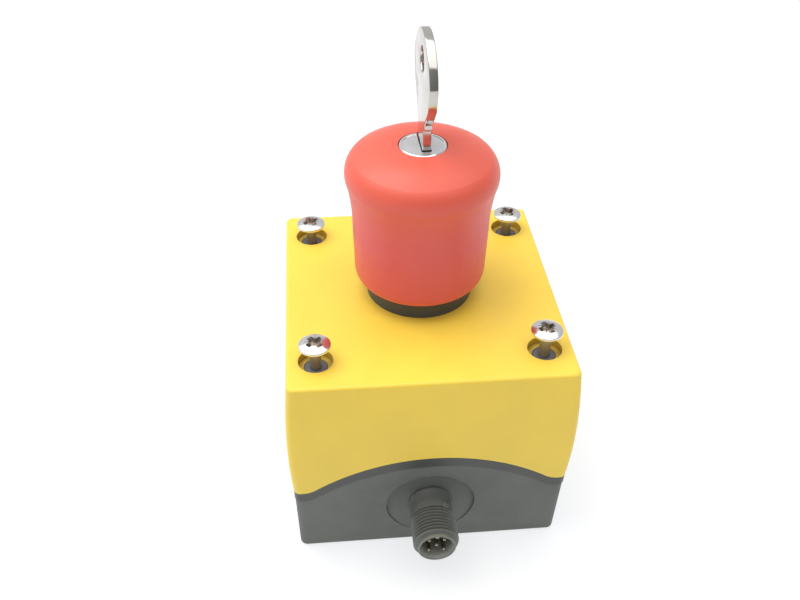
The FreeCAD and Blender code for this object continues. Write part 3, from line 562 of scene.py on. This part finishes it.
def make_materials():
    """One material for each of the record's slots."""
    plate = middle("lock_face_plate")
    low, high = cad("lock_face_plate")
    rim = (high.x - low.x) / 2 - 0.85
    yellow = srgb(246, 212, 77)
    return {
        "yellow_plastic": cover_plastic("yellow_moulding", yellow),
        "black_plastic": base_plastic("black_moulding", srgb(101, 104, 99), srgb(67, 69, 66)),
        "red_plastic": head_plastic("red_moulding", srgb(227, 95, 75), srgb(224, 90, 91)),
        "collar_plastic": moulded("collar_moulding", srgb(70, 76, 86), 0.42, 0.3, 0.006, 0.08),
        "connector_plastic": plug_plastic("connector_moulding", srgb(104, 106, 101)),
        "black_rubber": rubber("black_rubber", srgb(38, 38, 38)),
        # The plug's seal: a paler rubber, painted light against the shade in its gap.
        "seal_rubber_painted_light": rubber("seal_rubber_painted_light", srgb(84, 86, 82)),
        "screw_steel": metal("screw_steel", srgb(222, 220, 218), 0.13, 0.003),
        "nickel": metal("nickel_plate", srgb(196, 192, 186), 0.1, 0.004, (1, 1, 0.15)),
        "lock_metal": face_metal("lock_face", srgb(214, 213, 215), (plate.x, plate.y, 0), rim),
        "spring_steel": metal("spring_wire", srgb(180, 180, 184), 0.25, 0.004),
        "brass": metal("brass", srgb(214, 184, 116), 0.25, 0.006, (1, 1, 0.2)),
        "contact_silver": metal("contact_silver", srgb(224, 222, 216), 0.2, 0.004, (1, 0.2, 1)),
        "grey_plastic": moulded("grey_moulding", srgb(150, 152, 154), 0.5, 0.4, 0.012, 0.05),
        "white_plastic": moulded("white_moulding", srgb(228, 226, 218), 0.45, 0.4, 0.01, 0.03),
        "pin_gold": metal("pin_gold", srgb(160, 152, 130), 0.2, 0.002),
        "lead_insulation": moulded("lead_insulation", srgb(46, 62, 120), 0.4, 0.2, 0.01, 0.06),
    }


# ---------------------------------------------------------------- cover screws

SCREW_SEAT = 2.5
SCREW_HEAD = 1.6
SCREW_RIM = 0.85
SCREW_SPIN = {"front_left": 40.0, "front_right": 22.0, "back_left": 30.0, "back_right": 25.0}


def recess(top, spin, place):
    """Tools for a crossed recess with filled corners and for the four ticks between its arms."""
    arm, reach, corner = 0.8, 2.45, 1.25
    quarter = ((reach, arm), (corner, arm), (arm, corner), (arm, reach))
    outline = []
    for turn in range(4):
        spot = Matrix.Rotation(turn * math.pi / 2, 2)
        outline += [tuple(spot @ Vector((x, y))) for x, y in ((reach, -arm),) + quarter[:3]]
    tools = [prism("Recess", outline, top - 1.25, top + 0.1, 0.66, place, spin)]
    for turn in range(4):
        tick = ((1.35, -0.14), (2.5, -0.05), (2.5, 0.05), (1.35, 0.14))
        tools.append(prism("Tick", tick, top - 0.4, top + 0.1, 1.0, place, spin + 45 + 90 * turn))
    return tools


def build_cover_screws():
    """Domed screws, threaded low down; the drive recess is cut into each dome."""
    shank, core, pitch = 1.4, 1.08, 1.0
    tip, plain, soft = 1.4, 11.0, 0.3
    for corner, spin in SCREW_SPIN.items():
        node = f"cover_screw_{corner}"
        low, high = cad(node)
        centre = (low + high) / 2
        radius = (high.x - low.x) / 2
        base = high.z - SCREW_SEAT
        top = base + SCREW_HEAD
        thread_top = base - plain
        threaded = thread_top - low.z - tip
        steps = int(threaded / pitch * 8)
        thread = [(shank, low.z + tip + threaded * i / steps) for i in range(steps + 1)]
        shoulder = arc((radius - soft, base + SCREW_RIM - soft), soft, 0, 70, 6)
        half_way = (radius * 0.707, top - (SCREW_HEAD - SCREW_RIM) * 0.45)
        dome = shoulder + arc_through(shoulder[-1], half_way, (0.0, top), 16)[1:]
        outline = ([(0.0, low.z), (0.35, low.z + 0.1), (core, low.z + 1.2)] + thread
                   + [(shank, thread_top + 0.3), (shank, base - 0.25)]
                   + arc((shank + 0.25, base - 0.25), 0.25, 180, 90, 4)
                   + [(radius - 0.2, base)] + arc((radius - 0.2, base + 0.2), 0.2, -90, 0, 4) + dome)

        def ridges(reach, height, angle, bottom=low.z + tip, end=thread_top):
            """Thread ridges that run out into the plain shank over one pitch."""
            if not bottom - 0.1 < height < end + 0.01 or reach < core:
                return reach
            phase = (height / pitch - angle / (2 * math.pi)) % 1.0
            crest = max(0.0, 1.0 - abs(phase - 0.5) / 0.32)
            fade = min(1.0, (end - height) / pitch)
            return core + (shank - core) * (crest * fade + (1 - fade))

        place = (centre.x, centre.y, 0)
        item = lathe(f"screw_{corner}", outline, place, segments=48, relief=ridges)
        carve(item, *recess(top, spin, place))
        metal_here = screw_metal(f"screw_steel_{corner}", srgb(226, 224, 222), centre, top, radius)
        stand_for(item, node, metal_here, 30)


# ---------------------------------------------------------------- plug connector

PLUG_ROOT, PLUG_BORE = 5.25, 4.3


def build_connector(materials):
    """The plug's body: smooth neck, serrated band, helical thread, and a mouth with a coding rib."""
    node = "connector_body"
    low, high = cad(node)
    centre = middle(node)
    front = low.y
    wall = -36.5
    neck, crest, root, pitch = 5.6, 6.0, PLUG_ROOT, 1.0
    thread_start, thread_end = -42.6, -50.3
    band_start = -40.4
    steps = 128
    thread = [(crest, thread_start + (thread_end - thread_start) * i / steps) for i in range(steps + 1)]
    mouth, bore, deep, tail = 5.0, PLUG_BORE, -44.5, 5.0
    band = neck + 0.1
    outline = [(3.6, high.y), (tail, high.y), (tail, wall), (neck + 0.25, wall), (neck + 0.25, wall - 0.4),
               (neck, wall - 0.7), (neck, band_start + 0.15), (band, band_start),
               (band, band_start - 0.8), (band, band_start - 1.6), (band, thread_start + 0.15)]
    outline += thread
    outline += [(root + 0.2, thread_end - 0.3), (root + 0.1, thread_end - 0.5), (mouth, thread_end - 0.62),
                (mouth, front + 0.2)]
    outline += arc((mouth - 0.2, front + 0.2), 0.2, 0, -90, 4)
    outline += [(bore + 0.2, front), (bore, front + 0.25), (bore, deep), (3.6, deep)]

    def relief(radius, height, angle):
        if radius == crest and thread_end - 0.01 <= height <= thread_start + 0.01:
            phase = (height / pitch + angle / (2 * math.pi)) % 1.0
            ridge = min(max(1.25 - abs(phase - 0.5) / 0.36, 0.0), 1.0)
            fade = min(1.0, (thread_start - height) / 0.6)
            return root + (crest - root) * ridge * max(fade, 0.0)
        if radius == band:
            serration = abs(math.sin(angle * 27))
            return neck - 0.02 + 0.12 * serration
        return radius

    place = (centre.x, 0, centre.z)
    item = lathe("plug_body", outline, place, "Y", 240, relief)
    stand_for(item, node, materials["connector_plastic"], 40)
    build_pins(materials, centre)
    # Index dot beside the thread's start, and the coding rib inside the mouth.
    tilt, dot_y = math.radians(35), -41.9
    outward = Vector((math.sin(tilt), 0, math.cos(tilt)))
    dot = lathe("plug_index_dot", [(0.0, 0.0), (0.95, 0.0), (0.95, 0.4), (0.8, 0.55), (0.45, 0.55),
                                   (0.35, 0.45), (0.0, 0.45)], segments=32)
    dot.data.transform(outward.to_track_quat("Z", "Y").to_matrix().to_4x4())
    spot = Vector(place) + outward * (neck - 0.2) + Vector((0, dot_y, 0))
    dot.data.transform(Matrix.Translation(spot * MM))
    rib = prism("plug_coding_rib", [(-0.45, -0.2), (0.45, -0.2), (0.4, 0.55), (-0.4, 0.55)], 0.0, 7.0)
    rib.data.transform(Matrix.Rotation(math.pi / 2, 4, "X"))
    rib.data.transform(Matrix.Translation(Vector((place[0], deep, place[2] + bore - 0.45)) * MM))
    for extra in (dot, rib):
        shade(extra)
        extra.data.materials.append(materials["connector_plastic"])
        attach(extra, body_of(node))


def build_pins(materials, centre):
    """Five round-nosed contact pins in the mouth, one of them in the middle."""
    low, high = cad("contact_pins")
    radius = 0.5
    reach = (high.x - low.x) / 2 - radius
    outline = [(0.0, high.y), (radius, high.y), (radius, low.y + 0.45)]
    outline += [(radius * math.cos(a), low.y + 0.45 - 0.45 * math.sin(a))
                for a in (math.pi / 16 * i for i in range(1, 8))] + [(0.0, low.y)]
    spots = [(x * reach, z * reach) for x in (-1, 1) for z in (-1, 1)] + [(0.0, 0.0)]
    pins = [lathe("plug_pin", outline, (centre.x + x, 0, centre.z + z), "Y", 24) for x, z in spots]
    form = bmesh.new()
    for pin in pins:
        form.from_mesh(pin.data)
        bpy.data.objects.remove(pin)
    mesh = bpy.data.meshes.new("plug_pins")
    form.to_mesh(mesh)
    form.free()
    item = bpy.data.objects.new("plug_pins", mesh)
    bpy.context.scene.collection.objects.link(item)
    stand_for(item, "contact_pins", materials["pin_gold"], 40)


# ---------------------------------------------------------------- key

KEY_FRONT, KEY_BACK = -1.9, 6.6
KEY_THICKNESS = 2.15
KEYWAY_X = 0.45
KEY_TURN = 2.0
BOW_BOTTOM = 110.0
BOW_RADIUS = 12.3
KNEE_REACH, KNEE_HEIGHT = 10.75, 117.5


def key_outline(tip, centre, waist):
    """The key seen from its side, as (y, z): cut blade, stepped neck and round bow on kneed cheeks."""
    points = [(KEY_FRONT, tip + 2.0), (KEY_FRONT + 2.0, tip), (KEY_BACK - 2.0, tip), (KEY_BACK, tip + 2.0)]
    cuts = ((86.5, 0.55), (89.5, 0.9), (92.5, 0.4), (95.5, 0.75), (98.5, 0.5))
    for height, depth in cuts:
        points += [(KEY_BACK, height - 1.1), (KEY_BACK - depth, height - 0.4),
                   (KEY_BACK - depth, height + 0.4), (KEY_BACK, height + 1.1)]
    step, neck_top, soft = 1.4, BOW_BOTTOM + 1.6, 0.3
    points += [(KEY_BACK, BOW_BOTTOM)] + arc((KEY_BACK + step - soft, BOW_BOTTOM + soft), soft, -90, 0, 4)
    points += [(KEY_BACK + step, neck_top), (centre + KNEE_REACH, KNEE_HEIGHT)]
    points += arc((centre, waist), BOW_RADIUS, 12.0, 168.0, 64)
    points += [(centre - KNEE_REACH, KNEE_HEIGHT), (KEY_FRONT - step, neck_top)]
    points += arc((KEY_FRONT - step + soft, BOW_BOTTOM + soft), soft, 180, 270, 4) + [(KEY_FRONT, BOW_BOTTOM)]
    for height, depth in reversed(cuts):
        depth = 1.3 - depth
        points += [(KEY_FRONT, height + 1.1), (KEY_FRONT + depth, height + 0.4),
                   (KEY_FRONT + depth, height - 0.4), (KEY_FRONT, height - 1.1)]
    return points


def build_key(materials):
    """A nickel-plated key: bevelled bow with its ring hole, cut and grooved blade."""
    low, high = cad("key")
    centre, waist = (KEY_FRONT + KEY_BACK) / 2, high.z - BOW_RADIUS
    bevel = 0.3
    outline = key_outline(low.z, centre, waist)
    hole_rise, hole_radius = 5.4, 3.1
    hole = arc((centre, waist + hole_rise), hole_radius, 0, -360, 48)[:-1]
    curve = bpy.data.curves.new("key", "CURVE")
    curve.dimensions = "2D"
    curve.fill_mode = "BOTH"
    curve.extrude = (KEY_THICKNESS / 2 - bevel) * MM
    curve.bevel_depth = bevel * MM
    curve.bevel_resolution = 3
    curve.offset = -bevel * MM
    for loop in (outline, hole):
        spline = curve.splines.new("POLY")
        spline.points.add(len(loop) - 1)
        spline.use_cyclic_u = True
        for point, (y, z) in zip(spline.points, loop):
            point.co = (y * MM, z * MM, 0, 1)
    holder = bpy.data.objects.new("key_curve", curve)
    bpy.context.scene.collection.objects.link(holder)
    bpy.context.view_layer.update()
    mesh = bpy.data.meshes.new_from_object(holder.evaluated_get(bpy.context.evaluated_depsgraph_get()))
    bpy.data.objects.remove(holder)
    # The outline's own axes become the object's Y and Z, and its thickness lies along X.
    mesh.transform(Matrix(((0, 0, 1, 0), (1, 0, 0, 0), (0, 1, 0, 0), (0, 0, 0, 1))))
    mesh.transform(Matrix.Translation((KEYWAY_X * MM, 0, 0)))
    item = bpy.data.objects.new("release_key", mesh)
    bpy.context.scene.collection.objects.link(item)
    form = bmesh.new()
    form.from_mesh(mesh)
    bmesh.ops.remove_doubles(form, verts=form.verts, dist=WELD * MM)
    bmesh.ops.recalc_face_normals(form, faces=form.faces)
    form.to_mesh(mesh)
    form.free()
    left, right = KEYWAY_X - KEY_THICKNESS / 2, KEYWAY_X + KEY_THICKNESS / 2
    groove = ((left - 1, 2.6), (left + 0.55, 2.85), (left + 0.55, 3.75), (left - 1, 4.0))
    other = ((right + 1, 0.9), (right - 0.4, 1.05), (right - 0.4, 1.75), (right + 1, 1.9))
    groove_end = 105.0
    carve(item, *[prism("Groove", shape, low.z - 1, groove_end) for shape in (groove, other)])
    axis = Matrix.Translation((0, middle("mushroom_head").y * MM, 0))
    item.data.transform(axis @ Matrix.Rotation(math.radians(KEY_TURN), 4, "Z") @ axis.inverted())
    stand_for(item, "key", materials["nickel"], 28)


# ---------------------------------------------------------------- springs and bellows

def build_springs(materials):
    """Coil springs and the bellows sleeve, each with a mesh of its own."""
    steel = materials["spring_steel"]

    def shorten(item):
        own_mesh(item)

    springs = [("head_return_spring", 0.4, 6, "head_push"),
               ("return_spring_left", 0.22, 5, "contact_left_open"),
               ("return_spring_right", 0.22, 5, "contact_right_open")]
    for node, wire, turns, joint in springs:
        low, high = cad(node)
        centre = (low + high) / 2
        radius = (high.y - low.y) / 2 - wire
        item = coil(f"{node}_coil", radius, wire, low.z, high.z, turns, (centre.x, centre.y))
        stand_for(item, node, steel, 60)
        shorten(item)
    low, high = cad("bellows_seal")
    centre = (low + high) / 2
    outer = (high.x - low.x) / 2
    inner, thin, folds = outer - 1.6, 0.5, 6
    fold = (high.z - low.z) / folds
    outside, inside = [], []
    for i in range(folds * 8 + 1):
        wave = 0.5 + 0.5 * math.cos(math.pi * i / 8)
        height = low.z + fold * i / 8
        outside.append((inner + thin + (outer - inner - thin) * wave, height))
        inside.append((inner + (outer - inner - thin) * wave, height))
    item = lathe("bellows_sleeve", outside + inside[::-1], (centre.x, centre.y, 0), segments=72)
    stand_for(item, "bellows_seal", materials["black_rubber"], 60)
    shorten(item)


# ---------------------------------------------------------------- CAD nodes as they are

def finish_cad_nodes(materials):
    """Each carried-over node takes its slot's material; the plug's seal takes a paler rubber, as painted
    light.
    """
    for name, item in frame["nodes"].items():
        for slot in item.material_slots:
            slot.material = materials["seal_rubber_painted_light" if name == "connector_seal" else slot_of(name)]


# ---------------------------------------------------------------- floor, light and camera

def build_stage():
    """A white sweep much larger than the object."""
    made = Surface("white_floor", Roughness=0.7, Emission_Color=(0.97, 0.98, 1.0, 1), Emission_Strength=0.68)
    made.finish(made.mix(made.noise(60.0, 3.0), (0.355, 0.355, 0.36, 1), (0.37, 0.37, 0.37, 1)))
    floor = new_object("floor", [(-3000, -3000, 0), (3000, -3000, 0), (3000, 3000, 0), (-3000, 3000, 0)],
                       [(0, 1, 2, 3)])
    floor.data.materials.append(made.material)


def add_lamp(name, place, target, size, power, colour=(1, 1, 1)):
    data = bpy.data.lights.new(name, "AREA")
    data.shape = "RECTANGLE"
    data.size, data.size_y = (side * MM for side in size)
    data.energy = power
    data.color = colour
    lamp = bpy.data.objects.new(name, data)
    lamp.location = Vector(place) * MM
    lamp.rotation_euler = (Vector(target) - Vector(place)).to_track_quat("-Z", "Y").to_euler()
    bpy.context.scene.collection.objects.link(lamp)


def build_light():
    """A pale room, brighter behind than in front, a wide ceiling panel and a soft window on the left."""
    world = bpy.data.worlds.new("Room")
    world.use_nodes = True
    tree = world.node_tree
    background = tree.nodes["Background"]
    background.inputs["Color"].default_value = (0.97, 0.985, 1.0, 1)
    split = tree.nodes.new("ShaderNodeSeparateXYZ")
    tree.links.new(tree.nodes.new("ShaderNodeTexCoord").outputs["Generated"], split.inputs[0])
    spans = []
    for axis, low, high, to_low, to_high in ((1, -0.7, 0.5, 0.19, 0.66), (2, 0.0, 1.0, 0.0, 0.12),
                                             (0, -1.0, 1.0, 0.16, -0.06)):
        span = tree.nodes.new("ShaderNodeMapRange")
        tree.links.new(split.outputs[axis], span.inputs[0])
        for socket, number in zip(span.inputs[1:5], (low, high, to_low, to_high)):
            socket.default_value = number
        spans.append(span.outputs[0])
    for extra in spans[1:]:
        add = tree.nodes.new("ShaderNodeMath")
        tree.links.new(spans[0], add.inputs[0])
        tree.links.new(extra, add.inputs[1])
        spans[0] = add.outputs[0]
    tree.links.new(spans[0], background.inputs["Strength"])
    bpy.context.scene.world = world
    add_lamp("ceiling_panel", (30, -80, 650), (30, -79, 0), (900, 720), 2.9, (1.0, 0.99, 0.97))
    add_lamp("left_window", (-230, 70, 470), (0, 0, 60), (420, 420), 1.15, (1.0, 0.99, 0.97))


def place_camera():
    """A wide view from above the front, a little to the left of the push axis."""
    data = bpy.data.cameras.new("Camera")
    data.sensor_width = 36.0
    data.lens = 41.927
    data.clip_start = 0.01
    camera = bpy.data.objects.new("Camera", data)
    camera.location = Vector((-25.06, -198.67, 215.67)) * MM
    camera.rotation_euler = [math.radians(angle) for angle in (51.557, -0.558, -5.245)]
    bpy.context.scene.collection.objects.link(camera)
    bpy.context.scene.camera = camera
    bpy.context.scene.view_settings.view_transform = "Standard"


# ---------------------------------------------------------------- making it

place_camera()
build_light()
build_stage()
MATERIALS = make_materials()
finish_cad_nodes(MATERIALS)
build_cover_screws()
build_connector(MATERIALS)
build_key(MATERIALS)
build_springs(MATERIALS)
